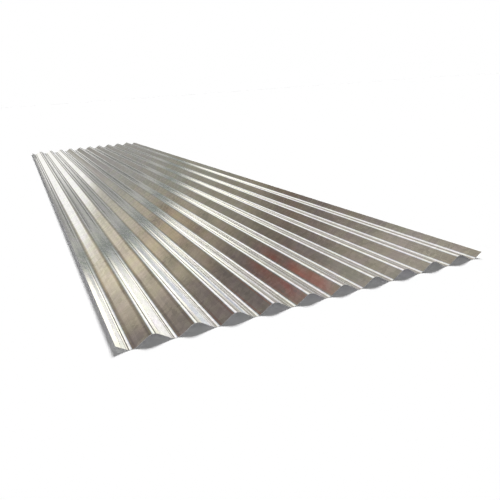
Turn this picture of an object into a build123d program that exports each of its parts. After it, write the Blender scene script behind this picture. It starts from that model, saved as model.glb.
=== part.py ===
# A corrugated roofing sheet of galvanized steel, cold-rolled from one flat strip.
# X runs across the waves, Y along them and Z up. The sheet lies on its valleys, and the origin
# is on the plane that they rest on, under the middle of the sheet.
import os
from math import asin, atan2, ceil, cos, hypot

from build123d import *

# Driving dimensions, in millimetres
sheet_length = 3600.0  # along the waves
sheet_width = 812.0  # straight across, over the two turned-up edges
sheet_thickness = 0.5  # of the steel with its zinc coating
wave_pitch = 76.2  # from one valley to the next
wave_depth = 18.0  # from valley to crest, on the same face of the sheet
bend_radius = 18.0  # of crests and valleys, at the middle of the thickness


def flank_slope():
    """The angle, in radians, at which a straight flank leaves a valley's bend and meets a crest's."""
    run = wave_pitch / 2
    rise = wave_depth - 2 * bend_radius  # between the centres of the two bends
    return atan2(rise, run) + asin(2 * bend_radius / hypot(run, rise))


def wave_section():
    """The rolled section before its edges are trimmed, with a valley in the middle.

    Straight flanks zigzag between crests and valleys, and each corner is rounded to the bend radius.
    """
    half_pitch = wave_pitch / 2
    corner_cut = bend_radius / cos(flank_slope()) - bend_radius  # from a bend's tip to its flanks' corner
    valley_corner = sheet_thickness / 2 - corner_cut
    crest_corner = sheet_thickness / 2 + wave_depth + corner_cut
    half_waves = ceil(sheet_width / wave_pitch) + 1  # each side of the middle, one more than the width needs
    corners = [
        (place * half_pitch, crest_corner if place % 2 else valley_corner)
        for place in range(-half_waves, half_waves + 1)
    ]
    return trace(FilletPolyline(*corners, radius=bend_radius), line_width=sheet_thickness)


def corrugated_sheet():
    """The section drawn out along the waves, with its two long edges sheared to the sheet's width."""
    strip = extrude(Plane.XZ * wave_section(), amount=sheet_length / 2, both=True)
    shears = Box(sheet_width, sheet_length, 2 * (wave_depth + sheet_thickness))
    return strip & shears


sheet = corrugated_sheet()
sheet.label = "corrugated_sheet"

os.makedirs("parts", exist_ok=True)
export_step(sheet, "parts/corrugated_sheet.step")
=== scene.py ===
from math import pi, radians, sin

import bpy
from mathutils import Matrix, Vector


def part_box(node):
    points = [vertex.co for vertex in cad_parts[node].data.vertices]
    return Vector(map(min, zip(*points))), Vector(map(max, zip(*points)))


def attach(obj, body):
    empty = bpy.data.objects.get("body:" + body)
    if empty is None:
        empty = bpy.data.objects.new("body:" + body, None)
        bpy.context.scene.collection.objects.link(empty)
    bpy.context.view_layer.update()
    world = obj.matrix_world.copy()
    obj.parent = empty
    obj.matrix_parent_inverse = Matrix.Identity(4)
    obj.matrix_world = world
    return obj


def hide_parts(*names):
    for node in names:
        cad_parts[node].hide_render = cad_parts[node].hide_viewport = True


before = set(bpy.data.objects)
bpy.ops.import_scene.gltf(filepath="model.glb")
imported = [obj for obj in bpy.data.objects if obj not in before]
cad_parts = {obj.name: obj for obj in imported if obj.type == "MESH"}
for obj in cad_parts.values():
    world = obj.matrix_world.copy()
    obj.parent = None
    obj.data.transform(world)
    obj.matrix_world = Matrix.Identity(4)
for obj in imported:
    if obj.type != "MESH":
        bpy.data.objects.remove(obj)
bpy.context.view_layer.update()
scene = bpy.context.scene
scene.view_settings.view_transform = "Standard"


# helpers that keep the node trees short

noiseMiddle = 0.5  # noise and random colours lie about this


def addNode(tree, kind, inputs=None, **settings):
    made = tree.nodes.new(kind)
    for name, value in settings.items():
        setattr(made, name, value)
    for key, value in (inputs or {}).items():
        if isinstance(value, bpy.types.NodeSocket):
            tree.links.new(value, made.inputs[key])
        else:
            made.inputs[key].default_value = value
    return made


def calc(tree, operation, *values):
    return addNode(tree, "ShaderNodeMath", dict(enumerate(values)), operation=operation).outputs[0]


def half(tree, value):
    return calc(tree, "DIVIDE", value, 2.0)


def vectorCalc(tree, operation, first, second):
    made = addNode(tree, "ShaderNodeVectorMath", {0: first, 1: second}, operation=operation)
    return made.outputs["Value" if operation == "DOT_PRODUCT" else "Vector"]


def splitVector(tree, vector):
    return addNode(tree, "ShaderNodeSeparateXYZ", {"Vector": vector}).outputs


def joinVector(tree, **parts):
    return addNode(tree, "ShaderNodeCombineXYZ", parts).outputs[0]


def objectPlace(tree):
    return addNode(tree, "ShaderNodeTexCoord").outputs["Object"]


def noise(tree, place, scale, detail=2.0, roughness=0.5):
    inputs = {"Vector": place, "Scale": scale, "Detail": detail, "Roughness": roughness}
    return addNode(tree, "ShaderNodeTexNoise", inputs).outputs


def mapRange(tree, value, fromMin, fromMax, toMin, toMax):
    ends = {"Value": value, "From Min": fromMin, "From Max": fromMax, "To Min": toMin, "To Max": toMax}
    return addNode(tree, "ShaderNodeMapRange", ends).outputs["Result"]


# 0 at the first end and 1 at the second
def fade(tree, value, ends):
    return mapRange(tree, value, *ends, 0.0, 1.0)


def mixColors(tree, factor, first, second, blend="MIX"):
    inputs = {0: factor}
    for key, color in ((6, first), (7, second)):  # the places of a Mix node's two colours
        inputs[key] = color if isinstance(color, bpy.types.NodeSocket) else (*color, 1.0)
    return addNode(tree, "ShaderNodeMix", inputs, data_type="RGBA", blend_type=blend).outputs[2]


def addSockets(tree, inputs, outputs):
    for name, (kind, value) in inputs.items():
        socket = tree.interface.new_socket(name=name, in_out="INPUT", socket_type="NodeSocket" + kind)
        if value is not None:
            socket.default_value = value
    for name, kind in outputs.items():
        tree.interface.new_socket(name=name, in_out="OUTPUT", socket_type="NodeSocket" + kind)


def newMaterial(name):
    made = bpy.data.materials.new(name)
    made.use_nodes = True
    made.node_tree.nodes.clear()
    return made


# zinc crystals: each one has its own tone, and leans a little so that it catches the light alone

spangleLook = {
    "wanderScale": 160.0,  # of the noise that makes the crystals' borders uneven
    "wanderReach": 0.006,
}


def makeSpangleGroup():
    look = spangleLook
    tree = bpy.data.node_groups.new("zincSpangle", "ShaderNodeTree")
    addSockets(
        tree,
        {"Vector": ("Vector", None), "Grain Size": ("Float", 0.01), "Lean": ("Float", 0.01)},
        {"Tone": "Float", "Height": "Float"},
    )
    given = addNode(tree, "NodeGroupInput").outputs
    wander = noise(tree, given["Vector"], look["wanderScale"])["Color"]
    wander = vectorCalc(tree, "SUBTRACT", wander, (noiseMiddle,) * 3)
    wander = vectorCalc(tree, "MULTIPLY", wander, (look["wanderReach"],) * 3)
    place = vectorCalc(tree, "ADD", given["Vector"], wander)
    fineness = calc(tree, "DIVIDE", 1.0, given["Grain Size"])
    crystals = addNode(tree, "ShaderNodeTexVoronoi", {"Vector": place, "Scale": fineness}).outputs
    leaning = vectorCalc(tree, "SUBTRACT", crystals["Color"], (noiseMiddle,) * 3)
    offset = vectorCalc(tree, "SUBTRACT", place, crystals["Position"])
    height = calc(tree, "MULTIPLY", vectorCalc(tree, "DOT_PRODUCT", leaning, offset), given["Lean"])
    tone = addNode(tree, "ShaderNodeSeparateColor", {"Color": crystals["Color"]}).outputs["Red"]
    addNode(tree, "NodeGroupOutput", {"Tone": tone, "Height": height})
    return tree


# fine lines that the rolls drew along the waves

def makeRollLineGroup():
    tree = bpy.data.node_groups.new("rollLines", "ShaderNodeTree")
    addSockets(
        tree,
        {"Vector": ("Vector", None), "Line Width": ("Float", 0.002), "Line Length": ("Float", 0.5)},
        {"Lines": "Float"},
    )
    given = addNode(tree, "NodeGroupInput").outputs
    across = calc(tree, "DIVIDE", 1.0, given["Line Width"])
    along = calc(tree, "DIVIDE", 1.0, given["Line Length"])
    drawn = vectorCalc(tree, "MULTIPLY", given["Vector"], joinVector(tree, X=across, Y=along, Z=across))
    addNode(tree, "NodeGroupOutput", {"Lines": noise(tree, drawn, 1.0, detail=3.0)["Fac"]})
    return tree


spangleGroup = makeSpangleGroup()
rollLineGroup = makeRollLineGroup()


# both groups, with the sizes that one metal's finish gives them
def placeGrain(tree, place, look):
    spangle = addNode(
        tree,
        "ShaderNodeGroup",
        {"Vector": place, "Grain Size": look["grainSize"], "Lean": look["grainLean"]},
        node_tree=spangleGroup,
    )
    lines = addNode(
        tree,
        "ShaderNodeGroup",
        {"Vector": place, "Line Width": look["lineWidth"], "Line Length": look["lineLength"]},
        node_tree=rollLineGroup,
    )
    return spangle.outputs, lines.outputs["Lines"]


def shadeMetal(tree, color, rough, height):
    bump = addNode(tree, "ShaderNodeBump", {"Strength": 1.0, "Distance": 1.0, "Height": height})
    shader = addNode(
        tree,
        "ShaderNodeBsdfPrincipled",
        {"Base Color": color, "Roughness": rough, "Normal": bump.outputs["Normal"], "Metallic": 1.0},
    )
    addNode(tree, "ShaderNodeOutputMaterial", {"Surface": shader.outputs[0]})


zincFinish = {
    "lightTone": (0.945, 0.95, 0.955),
    "darkTone": (0.765, 0.77, 0.775),
    "grainSize": 0.011,           # of the spangle
    "grainLean": 0.0012,
    "smooth": 0.06,               # roughness of a clean crystal
    "dull": 0.09,
    "smudgeScale": 5.0,           # of the noise that dulls the zinc where hands and water were
    "smudgeRange": (0.48, 0.72),  # of that noise, from clean to smudged
    "smudgeDulling": 0.05,        # the roughness that a smudge adds
    "lineWidth": 0.006,
    "lineLength": 0.6,
    "lineRange": (0.35, 0.65),    # of the noise, from the strongest line to none
    "lineTone": (0.55, 0.58, 0.62),
    "lineShare": 0.30,            # how much of that tone the strongest line shows
    "lineHeight": 0.000004,
    "patchSize": 0.045,           # of faint patches of tint
    "patchRange": (0.35, 0.65),   # of their noise, from one tint to the other
    "oliveTint": (0.985, 1.00, 0.95),
    "plumTint": (1.00, 0.96, 1.03),
}


def makeZincMaterial():
    look = zincFinish
    material = newMaterial("galvanizedZinc")
    tree = material.node_tree
    place = objectPlace(tree)
    spangle, lines = placeGrain(tree, place, look)
    color = mixColors(tree, spangle["Tone"], look["darkTone"], look["lightTone"])
    lineShare = mapRange(tree, lines, *look["lineRange"], look["lineShare"], 0.0)
    color = mixColors(tree, lineShare, color, look["lineTone"])
    patches = noise(tree, place, 1.0 / look["patchSize"], detail=3.0)["Fac"]
    tint = mixColors(tree, fade(tree, patches, look["patchRange"]), look["oliveTint"], look["plumTint"])
    color = mixColors(tree, 1.0, color, tint, "MULTIPLY")
    smudges = noise(tree, place, look["smudgeScale"], detail=5.0, roughness=0.6)["Fac"]
    smudges = fade(tree, smudges, look["smudgeRange"])
    rough = mapRange(tree, spangle["Tone"], 0.0, 1.0, look["smooth"], look["dull"])
    rough = calc(tree, "MULTIPLY_ADD", smudges, look["smudgeDulling"], rough)
    height = calc(tree, "MULTIPLY_ADD", lines, look["lineHeight"], spangle["Height"])
    shadeMetal(tree, color, rough, height)
    return material


cutFinish = {
    "brightTone": (0.62, 0.61, 0.60),
    "greyTone": (0.42, 0.41, 0.40),
    "grainSize": 0.003,
    "grainLean": 0.02,
    "smooth": 0.30,        # roughness
    "dull": 0.48,
    "lineWidth": 0.0012,   # of the marks that the shears leave
    "lineLength": 0.0008,
}


def makeCutEdgeMaterial():
    look = cutFinish
    material = newMaterial("shearedSteel")
    tree = material.node_tree
    spangle, lines = placeGrain(tree, objectPlace(tree), look)
    color = mixColors(tree, lines, look["greyTone"], look["brightTone"])
    rough = mapRange(tree, spangle["Tone"], 0.0, 1.0, look["smooth"], look["dull"])
    shadeMetal(tree, color, rough, spangle["Height"])
    return material


zincMaterial = makeZincMaterial()
cutMaterial = makeCutEdgeMaterial()
print("materials made")


# the sheet: one wavy line, filleted at its crests and valleys, swept with a long thin section

sheetShape = {
    "Wave Pitch": 0.0762,      # valley to valley
    "Bend Radius": 0.018,      # of crests and valleys, at the middle of the thickness
    "Thickness": 0.0005,
    "Bend Steps": 24,          # facets in each bend
    "Length Steps": 60,        # rows along the waves
    "Ripple Height": 0.00025,  # how far the flanks wander from straight
    "Ripple Length": 0.35,
    "Ripple Seed": 4.0,
}


# of the straight flanks, which are tangent to the bends at both ends
def findSlope(tree, given):
    run = half(tree, given["Wave Pitch"])
    twoBends = calc(tree, "MULTIPLY", given["Bend Radius"], 2.0)
    depth = calc(tree, "SUBTRACT", given["Height"], given["Thickness"])
    rise = calc(tree, "SUBTRACT", depth, twoBends)  # between the centres of a crest and a valley
    apart = calc(tree, "ADD", calc(tree, "POWER", run, 2.0), calc(tree, "POWER", rise, 2.0))
    apart = calc(tree, "SQRT", apart)
    slope = calc(tree, "ARCSINE", calc(tree, "DIVIDE", twoBends, apart))
    return calc(tree, "ADD", slope, calc(tree, "ARCTAN2", rise, run))


# no further out than the two long edges
def trimWidth(tree, given, across):
    halfWidth = half(tree, given["Width"])
    leftEdge = calc(tree, "MULTIPLY", halfWidth, -1.0)
    return addNode(tree, "ShaderNodeClamp", {"Value": across, "Min": leftEdge, "Max": halfWidth}).outputs[0]


# a zigzag of the flanks' corners, cut off at the two long edges and rounded to the bends
def drawWaves(tree, given):
    halfPitch = half(tree, given["Wave Pitch"])
    slope = findSlope(tree, given)
    cornerCut = calc(tree, "DIVIDE", given["Bend Radius"], calc(tree, "COSINE", slope))
    cornerCut = calc(tree, "SUBTRACT", cornerCut, given["Bend Radius"])  # from a bend's tip to its corner
    valleyCorner = calc(tree, "SUBTRACT", half(tree, given["Thickness"]), cornerCut)
    halfWaves = calc(tree, "CEIL", calc(tree, "DIVIDE", half(tree, given["Width"]), halfPitch))
    corners = calc(tree, "MULTIPLY_ADD", halfWaves, 2.0, 1.0)
    line = addNode(tree, "GeometryNodeMeshLine", {"Count": corners}).outputs[0]
    index = addNode(tree, "GeometryNodeInputIndex").outputs[0]
    across = calc(tree, "MULTIPLY", calc(tree, "SUBTRACT", index, halfWaves), halfPitch)
    across = trimWidth(tree, given, across)
    up = calc(tree, "MULTIPLY", calc(tree, "PINGPONG", across, halfPitch), calc(tree, "TANGENT", slope))
    corner = joinVector(tree, X=across, Z=calc(tree, "ADD", up, valleyCorner))
    line = addNode(tree, "GeometryNodeSetPosition", {"Geometry": line, "Position": corner}).outputs[0]
    line = addNode(tree, "GeometryNodeMeshToCurve", {"Mesh": line}).outputs[0]
    line = addNode(
        tree,
        "GeometryNodeFilletCurve",
        {"Curve": line, "Count": given["Bend Steps"], "Radius": given["Bend Radius"]},
        mode="POLY",
    ).outputs[0]
    return addNode(tree, "GeometryNodeSetCurveNormal", {"Curve": line}, mode="Z_UP").outputs[0]


# the sheet's length by its thickness, in rows
def drawSection(tree, given):
    rows = calc(tree, "ADD", given["Length Steps"], 1.0)
    grid = addNode(
        tree,
        "GeometryNodeMeshGrid",
        {"Size X": given["Length"], "Size Y": given["Thickness"], "Vertices X": rows, "Vertices Y": 2},
    ).outputs[0]
    neighbours = addNode(tree, "GeometryNodeInputMeshEdgeNeighbors").outputs[0]
    rim = calc(tree, "LESS_THAN", neighbours, 2.0)  # edges with a face on one side only
    return addNode(tree, "GeometryNodeMeshToCurve", {"Mesh": grid, "Selection": rim}).outputs[0]


# the flanks wander a little, while crests, valleys and edges stay on their planes
def wanderFlanks(tree, given, sheet):
    flankPeak = 4.0   # brings share times its rest to 1 at the middle of a flank
    noiseSwing = 2.0  # brings noise to about 1 each way
    place = splitVector(tree, addNode(tree, "GeometryNodeInputPosition").outputs[0])
    share = calc(tree, "DIVIDE", place["Z"], given["Height"])
    onFlank = calc(tree, "MULTIPLY", share, calc(tree, "SUBTRACT", 1.0, share))
    onFlank = calc(tree, "MULTIPLY", onFlank, flankPeak * noiseSwing)
    ground = joinVector(tree, X=place["X"], Y=place["Y"], Z=given["Ripple Seed"])
    ripple = noise(tree, ground, calc(tree, "DIVIDE", 1.0, given["Ripple Length"]))["Fac"]
    ripple = calc(tree, "MULTIPLY", calc(tree, "SUBTRACT", ripple, noiseMiddle), onFlank)
    ripple = calc(tree, "MULTIPLY", ripple, given["Ripple Height"])
    across = trimWidth(tree, given, place["X"])
    settled = joinVector(tree, X=across, Y=place["Y"], Z=calc(tree, "ADD", place["Z"], ripple))
    return addNode(tree, "GeometryNodeSetPosition", {"Geometry": sheet, "Position": settled}).outputs[0]


# smooth faces with crisp sheared corners
def smoothSheet(tree, sheet):
    crispAngle = radians(40)
    bend = addNode(tree, "GeometryNodeInputMeshEdgeAngle").outputs["Unsigned Angle"]
    soft = calc(tree, "LESS_THAN", bend, crispAngle)
    sheet = addNode(tree, "GeometryNodeSetShadeSmooth", {"Geometry": sheet}, domain="FACE").outputs[0]
    return addNode(
        tree, "GeometryNodeSetShadeSmooth", {"Geometry": sheet, "Shade Smooth": soft}, domain="EDGE"
    ).outputs[0]


# zinc all over, and bare cut steel on the ends and the two long edges
def coatSheet(tree, given, sheet):
    facesEnd = 0.7  # a normal that points along the waves by more than this is an end's
    zinc = {"Geometry": sheet, "Material": zincMaterial}
    sheet = addNode(tree, "GeometryNodeSetMaterial", zinc).outputs[0]
    facing = splitVector(tree, addNode(tree, "GeometryNodeInputNormal").outputs[0])
    endFace = calc(tree, "GREATER_THAN", calc(tree, "ABSOLUTE", facing["Y"]), facesEnd)
    place = splitVector(tree, addNode(tree, "GeometryNodeInputPosition").outputs[0])
    nearEdge = calc(tree, "SUBTRACT", half(tree, given["Width"]), given["Thickness"])
    sideFace = calc(tree, "GREATER_THAN", calc(tree, "ABSOLUTE", place["X"]), nearEdge)
    cut = calc(tree, "MAXIMUM", endFace, sideFace)
    return addNode(
        tree, "GeometryNodeSetMaterial", {"Geometry": sheet, "Selection": cut, "Material": cutMaterial}
    ).outputs[0]


def makeSheetTree():
    tree = bpy.data.node_groups.new("corrugatedSheetNodes", "GeometryNodeTree")
    inputs = {"Geometry": ("Geometry", None)}
    for name in ("Width", "Length", "Height"):
        inputs[name] = ("Float", 1.0)
    for name, value in sheetShape.items():
        inputs[name] = ("Int" if name.endswith("Steps") else "Float", value)
    addSockets(tree, inputs, {"Geometry": "Geometry"})
    given = addNode(tree, "NodeGroupInput").outputs
    sweep = {"Curve": drawWaves(tree, given), "Profile Curve": drawSection(tree, given), "Fill Caps": True}
    sheet = addNode(tree, "GeometryNodeCurveToMesh", sweep).outputs[0]
    sheet = addNode(tree, "GeometryNodeFlipFaces", {"Mesh": sheet}).outputs[0]  # the sweep faces inwards
    sheet = wanderFlanks(tree, given, sheet)
    sheet = smoothSheet(tree, sheet)
    sheet = addNode(tree, "GeometryNodeRealizeInstances", {"Geometry": sheet}).outputs[0]
    sheet = coatSheet(tree, given, sheet)
    addNode(tree, "NodeGroupOutput", {"Geometry": sheet})
    return tree


def makeSheet():
    low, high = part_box("corrugated_sheet")
    tree = makeSheetTree()
    sizes = {
        "Width": high.x - low.x,
        "Length": high.y - low.y,
        "Height": high.z - low.z,
        **sheetShape,
    }
    source = bpy.data.objects.new("sheetSource", bpy.data.meshes.new("sheetSource"))
    scene.collection.objects.link(source)
    modifier = source.modifiers.new("corrugation", "NODES")
    modifier.node_group = tree
    for item in tree.interface.items_tree:
        if item.in_out == "INPUT" and item.name in sizes:
            modifier[item.identifier] = sizes[item.name]
    evaluated = source.evaluated_get(bpy.context.evaluated_depsgraph_get())
    mesh = bpy.data.meshes.new_from_object(evaluated)
    bpy.data.objects.remove(source)
    mesh.name = "corrugatedSheet"
    sheet = bpy.data.objects.new("corrugatedSheet", mesh)
    scene.collection.objects.link(sheet)
    return sheet


sheet = makeSheet()
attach(sheet, "root")
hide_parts("corrugated_sheet")
print("sheet made:", len(sheet.data.vertices), "vertices,", len(sheet.data.polygons), "faces")


# studio: pale floor, white surround and flags overhead that the metal mirrors

def makePlane(name, low, high, height):
    mesh = bpy.data.meshes.new(name)
    corners = [(low[0], low[1]), (high[0], low[1]), (high[0], high[1]), (low[0], high[1])]
    mesh.from_pydata([(x, y, height) for x, y in corners], [], [(0, 1, 2, 3)])
    plane = bpy.data.objects.new(name, mesh)
    scene.collection.objects.link(plane)
    return plane


# 1 for what is looked at, straight or in a reflection, and 0 for the light on matte surfaces
def findSeen(tree):
    rays = addNode(tree, "ShaderNodeLightPath").outputs
    seen = calc(tree, "MAXIMUM", rays["Is Camera Ray"], rays["Is Glossy Ray"])
    return calc(tree, "MAXIMUM", seen, rays["Is Transmission Ray"])


floorLook = {
    "size": 60.0,
    "drop": 0.0002,    # below the valleys, so that the two never share a plane
    "color": (0.93, 0.93, 0.93),
    "glow": 0.07,      # what lifts the floor to white for the camera, over its own light and shade
}


def makeFloor():
    look = floorLook
    floor = makePlane("floor", (-look["size"],) * 2, (look["size"],) * 2, -look["drop"])
    material = newMaterial("paleFloor")
    tree = material.node_tree
    strength = calc(tree, "MULTIPLY", findSeen(tree), look["glow"])
    glow = addNode(tree, "ShaderNodeEmission", {"Strength": strength})
    matte = addNode(tree, "ShaderNodeBsdfDiffuse", {"Color": (*look["color"], 1.0)})
    both = addNode(tree, "ShaderNodeAddShader", {0: matte.outputs[0], 1: glow.outputs[0]})
    below = addNode(tree, "ShaderNodeNewGeometry").outputs["Backfacing"]  # clear from under the floor
    clear = addNode(tree, "ShaderNodeBsdfTransparent")
    surface = addNode(tree, "ShaderNodeMixShader", {0: below, 1: both.outputs[0], 2: clear.outputs[0]})
    addNode(tree, "ShaderNodeOutputMaterial", {"Surface": surface.outputs[0]})
    floor.data.materials.append(material)


# Each flag is graded by reach: how far along the waves a mirrored ray goes for each metre across or up.
# Bends, flanks and double bounces at one place of the sheet all have the same reach.
flagLook = {
    "height": 12.0,
    "far": 3000.0,                      # to both ends
    "topReach": 10.0,                   # where every grading has ended
    "openColor": (1.05, 1.04, 0.99),    # where the studio is open
}


def makeFlag(name, sides):
    flag = makePlane(name, (sides[0], -flagLook["far"]), (sides[1], flagLook["far"]), flagLook["height"])
    flag.visible_camera = False
    flag.visible_diffuse = False
    flag.visible_shadow = False
    flag.visible_transmission = False
    material = newMaterial(name)
    flag.data.materials.append(material)
    return material.node_tree


def findReach(tree, place):
    aside = calc(tree, "MULTIPLY_ADD", place["X"], place["X"], flagLook["height"] ** 2)
    return calc(tree, "DIVIDE", calc(tree, "ABSOLUTE", place["Y"]), calc(tree, "SQRT", aside))


def gradeByReach(tree, reach, grading):
    share = calc(tree, "DIVIDE", reach, flagLook["topReach"])
    ramp = addNode(tree, "ShaderNodeValToRGB", {"Fac": share})
    stops = ramp.color_ramp.elements
    while len(stops) < len(grading):
        stops.new(1.0)
    for stop, (distance, color) in zip(stops, grading):
        stop.position = distance / flagLook["topReach"]
        stop.color = (*color, 1.0)
    return ramp.outputs["Color"]


def makeGlow(tree, color):
    glow = addNode(tree, "ShaderNodeEmission", {"Color": color})
    addNode(tree, "ShaderNodeOutputMaterial", {"Surface": glow.outputs[0]})


# the flag over the left of the sheet: colours by reach, and places across it in metres
warmLook = {
    "sides": (-90.0, 1.9),
    "leftGrading": (
        (1.05, (0.262, 0.236, 0.198)),
        (1.30, (0.190, 0.163, 0.143)),
        (1.60, (0.162, 0.136, 0.122)),
        (1.80, (0.172, 0.146, 0.126)),
        (2.10, (0.400, 0.340, 0.245)),
        (2.21, (0.165, 0.138, 0.108)),    # a dark bar
        (2.31, (0.165, 0.138, 0.108)),
        (2.42, (0.470, 0.388, 0.255)),
        (2.68, (0.520, 0.430, 0.285)),
        (2.80, (0.200, 0.168, 0.130)),    # a dark bar
        (2.90, (0.200, 0.168, 0.130)),
        (3.05, (0.430, 0.390, 0.300)),
        (3.50, (0.415, 0.390, 0.315)),
        (3.95, (0.300, 0.300, 0.260)),
        (4.40, (0.400, 0.400, 0.350)),
        (5.20, (0.345, 0.332, 0.322)),
        (7.00, (0.335, 0.328, 0.292)),
    ),
    "rightGrading": (
        (0.92, (0.370, 0.335, 0.272)),
        (1.10, (0.295, 0.262, 0.215)),
        (1.35, (0.200, 0.168, 0.142)),
        (1.65, (0.198, 0.168, 0.132)),
        (1.88, (0.280, 0.255, 0.195)),
        (2.65, (0.325, 0.312, 0.252)),
        (3.30, (0.310, 0.310, 0.260)),
        (4.00, (0.345, 0.340, 0.310)),
    ),
    "rightFade": (-4.2, -1.8),            # across, from the left grading to the right one
    "cloudScale": 0.5,
    "drift": 0.25,                        # how far clouds push the gradings to and fro
    "redTint": (1.32, 0.58, 0.53),        # one red spot
    "redMiddle": (-3.2, 1.32),            # across, and by reach
    "redSize": (1.3, 0.36),
    "redRim": (1.0, 0.2),                 # its soft rim, in squared shares of its size
    "streakStretch": (2.2, 0.9, 1.0),     # of the noise that breaks the spot up
    "streakRange": (0.38, 0.58),
    "mottleStretch": (0.9, 0.35, 1.0),     # painted reflection mottling, longer along the waves than across them
    "coolTint": (0.95, 1.00, 1.04),
    "warmTint": (1.07, 0.99, 0.95),
    "tintRange": (0.35, 0.65),            # of the noise, from cool to warm
    "toneShift": (7.0, 3.0, 0.0),         # keeps the mottling of tone off the mottling of tint
    "toneScale": 1.6,
    "toneRange": (0.3, 0.7),              # of the noise, from the darkest to the palest patch of the mottled reflection
    "tones": (0.82, 1.14),                # of those two
    "haze": (0.95, 0.87, 0.68),           # pale towards the left
    "hazeShare": 0.58,
    "hazeAcross": (-4.2, -11.0),
    "hazeReach": (1.85, 2.40),
    "hazeNear": 0.2,                      # how much of it is left at short reach
    "openSlant": 1.5,                     # the open part at the far left
    "openStart": (75.0, 87.0),
    "openEdge": (-5.2, -6.6),
    "rightOpenReach": (4.7, 6.6),         # the open part at its right edge
    "rightOpenEdge": (0.7, 1.5),
}


def addRedSpot(tree, point, place, reach, color):
    look = warmLook
    middle, size = look["redMiddle"], look["redSize"]
    across = calc(tree, "DIVIDE", calc(tree, "SUBTRACT", place["X"], middle[0]), size[0])
    onward = calc(tree, "DIVIDE", calc(tree, "SUBTRACT", reach, middle[1]), size[1])
    away = calc(tree, "MULTIPLY_ADD", across, across, calc(tree, "MULTIPLY", onward, onward))
    streaks = vectorCalc(tree, "MULTIPLY", point, look["streakStretch"])
    streaks = noise(tree, streaks, 1.0, detail=3.0)["Fac"]
    streaks = fade(tree, streaks, look["streakRange"])
    red = calc(tree, "MULTIPLY", fade(tree, away, look["redRim"]), streaks)
    return mixColors(tree, red, color, look["redTint"], "MULTIPLY")


# painted reflection: mottled patches of tint and tone on the warm flag, which show in the zinc as a blotchy
# reflection
def addReflectionMottling(tree, point, color):
    look = warmLook
    stretched = vectorCalc(tree, "MULTIPLY", point, look["mottleStretch"])
    hue = noise(tree, stretched, 1.0, detail=4.0)["Fac"]
    tint = mixColors(tree, fade(tree, hue, look["tintRange"]), look["coolTint"], look["warmTint"])
    color = mixColors(tree, 1.0, color, tint, "MULTIPLY")
    moved = vectorCalc(tree, "ADD", stretched, look["toneShift"])
    tone = noise(tree, moved, look["toneScale"])["Fac"]
    tone = mapRange(tree, tone, *look["toneRange"], *look["tones"])
    return mixColors(tree, 1.0, color, tone, "MULTIPLY")


def addHaze(tree, place, reach, color):
    look = warmLook
    haze = calc(tree, "MULTIPLY", fade(tree, place["X"], look["hazeAcross"]), look["hazeShare"])
    onward = mapRange(tree, reach, *look["hazeReach"], look["hazeNear"], 1.0)
    return mixColors(tree, calc(tree, "MULTIPLY", haze, onward), color, look["haze"])


def openFarParts(tree, place, reach, color):
    look = warmLook
    slanted = calc(tree, "MULTIPLY_ADD", place["X"], -look["openSlant"], place["Y"])
    left = fade(tree, place["X"], look["openEdge"])
    left = calc(tree, "MULTIPLY", left, fade(tree, slanted, look["openStart"]))
    right = fade(tree, place["X"], look["rightOpenEdge"])
    right = calc(tree, "MULTIPLY", right, fade(tree, reach, look["rightOpenReach"]))
    return mixColors(tree, calc(tree, "MAXIMUM", left, right), color, flagLook["openColor"])


def makeWarmFlag():
    look = warmLook
    tree = makeFlag("warmFlag", look["sides"])
    point = objectPlace(tree)
    place = splitVector(tree, point)
    reach = findReach(tree, place)
    clouds = noise(tree, point, look["cloudScale"], detail=4.0)["Fac"]
    drifted = calc(tree, "MULTIPLY_ADD", calc(tree, "SUBTRACT", clouds, noiseMiddle), look["drift"], reach)
    left = gradeByReach(tree, drifted, look["leftGrading"])
    right = gradeByReach(tree, drifted, look["rightGrading"])
    color = mixColors(tree, fade(tree, place["X"], look["rightFade"]), left, right)
    color = addRedSpot(tree, point, place, drifted, color)
    # painted reflection mottling on the flag
    color = addReflectionMottling(tree, point, color)
    color = addHaze(tree, place, drifted, color)
    makeGlow(tree, openFarParts(tree, place, reach, color))


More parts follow.
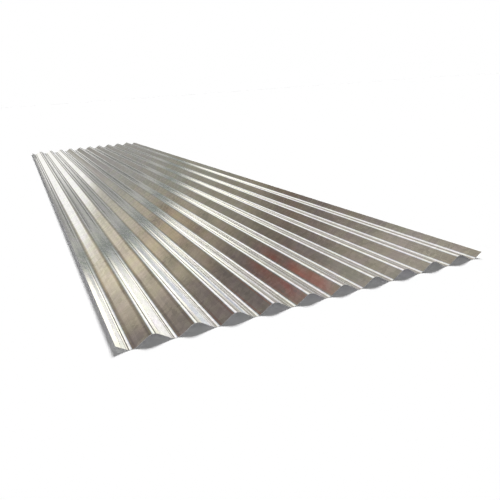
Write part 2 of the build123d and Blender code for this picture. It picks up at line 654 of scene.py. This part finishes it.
# plain cards and flags to the right of the warm one
cardLook = {
    "cards": {
        "coolCard": {
            "sides": (1.9, 4.2),
            "grading": (
                (1.40, (0.84, 0.88, 0.93)),
                (1.70, (0.86, 0.90, 0.94)),
                (1.95, (0.74, 0.79, 0.82)),
                (2.40, (0.70, 0.73, 0.72)),
                (2.80, (0.52, 0.54, 0.51)),
            ),
            "farColor": (0.40, 0.40, 0.38),
            "open": True,
        },
        "brightCard": {
            "sides": (4.2, 9.6),
            "grading": (
                (1.30, (1.10, 1.06, 0.98)),
                (1.80, (1.32, 1.30, 1.20)),
                (2.30, (1.30, 1.28, 1.15)),
                (2.56, (0.95, 0.96, 0.88)),
                (2.85, (0.64, 0.66, 0.61)),
            ),
            "farColor": (0.52, 0.52, 0.48),
            "open": True,
        },
        "darkFlag": {
            "sides": (9.6, 15.5),
            "grading": (
                (1.20, (0.45, 0.42, 0.37)),
                (1.55, (0.38, 0.36, 0.315)),
                (1.90, (0.12, 0.115, 0.105)),
                (2.15, (0.16, 0.155, 0.14)),
                (2.35, (0.60, 0.58, 0.51)),
                (2.60, (0.60, 0.58, 0.51)),
                (2.88, (0.12, 0.12, 0.11)),
            ),
            "farColor": (0.11, 0.12, 0.11),
            "open": False,
        },
        "sideFlag": {
            "sides": (15.5, 3000.0),
            "grading": (
                (1.20, (0.45, 0.42, 0.37)),
                (1.55, (0.55, 0.525, 0.46)),
                (1.80, (1.05, 1.01, 0.89)),
                (2.02, (1.56, 1.52, 1.28)),
                (2.20, (1.70, 1.65, 1.40)),
                (2.56, (1.70, 1.65, 1.40)),
                (2.84, (0.86, 0.84, 0.74)),
            ),
            "farColor": (0.33, 0.325, 0.31),
            "open": False,
        },
    },
    "beyondCards": (             # the same on every card
        (3.06, (0.270, 0.295, 0.270)),
        (3.25, (0.285, 0.300, 0.278)),
        (3.45, (0.470, 0.470, 0.430)),
        (3.65, (0.470, 0.470, 0.430)),
    ),
    "farReach": (3.90, 5.10),    # where a card has its own far colour
    "openReach": 7.2,            # where an open card ends in white
}


def makeCards():
    look = cardLook
    for name, card in look["cards"].items():
        tree = makeFlag(name, card["sides"])
        grading = card["grading"] + look["beyondCards"]
        grading += tuple((reach, card["farColor"]) for reach in look["farReach"])
        if card["open"]:
            grading += ((look["openReach"], flagLook["openColor"]),)
        reach = findReach(tree, splitVector(tree, objectPlace(tree)))
        makeGlow(tree, gradeByReach(tree, reach, grading))


worldLook = {
    "seen": 1.0,       # white to the camera and in reflections
    "light": 0.15,     # what it gives to matte surfaces
}


def makeWorld():
    world = bpy.data.worlds.new("whiteStudio")
    world.use_nodes = True
    scene.world = world
    tree = world.node_tree
    tree.nodes.clear()
    strength = mapRange(tree, findSeen(tree), 0.0, 1.0, worldLook["light"], worldLook["seen"])
    glow = addNode(tree, "ShaderNodeBackground", {"Color": (1.0, 1.0, 1.0, 1.0), "Strength": strength})
    addNode(tree, "ShaderNodeOutputWorld", {"Surface": glow.outputs[0]})


lampLook = {
    "height": 48.0,    # degrees above the floor
    "side": 40.0,      # degrees to the right of the far end
    "spread": 22.0,    # degrees across, for soft shadows
    "light": 0.85,     # what it gives to a level matte surface
}


def makeLamp():
    look = lampLook
    lamp = bpy.data.objects.new("softSun", bpy.data.lights.new("softSun", "SUN"))
    lamp.data.angle = radians(look["spread"])
    lamp.data.energy = look["light"] * pi / sin(radians(look["height"]))
    lamp.rotation_euler = (radians(look["height"] - 90), 0.0, -radians(look["side"]))
    lamp.visible_glossy = False
    scene.collection.objects.link(lamp)


makeFloor()
makeWarmFlag()
makeCards()
makeWorld()
makeLamp()
print("studio made")


cameraLook = {
    "place": (-0.4856, -2.5513, 0.3963),
    "yaw": 23.600,            # degrees to the right of the waves
    "pitch": 18.086,          # downwards
    "roll": 3.948,            # clockwise
    "focalPixels": 497.32,
    "framePixels": 500,
    "sensor": 36.0,           # millimetres across the frame
    "viewEnd": 200.0,
}


def makeCamera():
    look = cameraLook
    camera = bpy.data.objects.new("camera", bpy.data.cameras.new("camera"))
    camera.data.lens = look["focalPixels"] / look["framePixels"] * look["sensor"]
    camera.data.sensor_width = look["sensor"]
    camera.data.clip_end = look["viewEnd"]
    turn = Matrix.Rotation(-radians(look["yaw"]), 4, "Z")
    tilt = Matrix.Rotation(radians(90 - look["pitch"]), 4, "X")
    lean = Matrix.Rotation(-radians(look["roll"]), 4, "Z")
    camera.matrix_world = Matrix.Translation(look["place"]) @ turn @ tilt @ lean
    scene.collection.objects.link(camera)
    scene.camera = camera


makeCamera()
print("camera set")
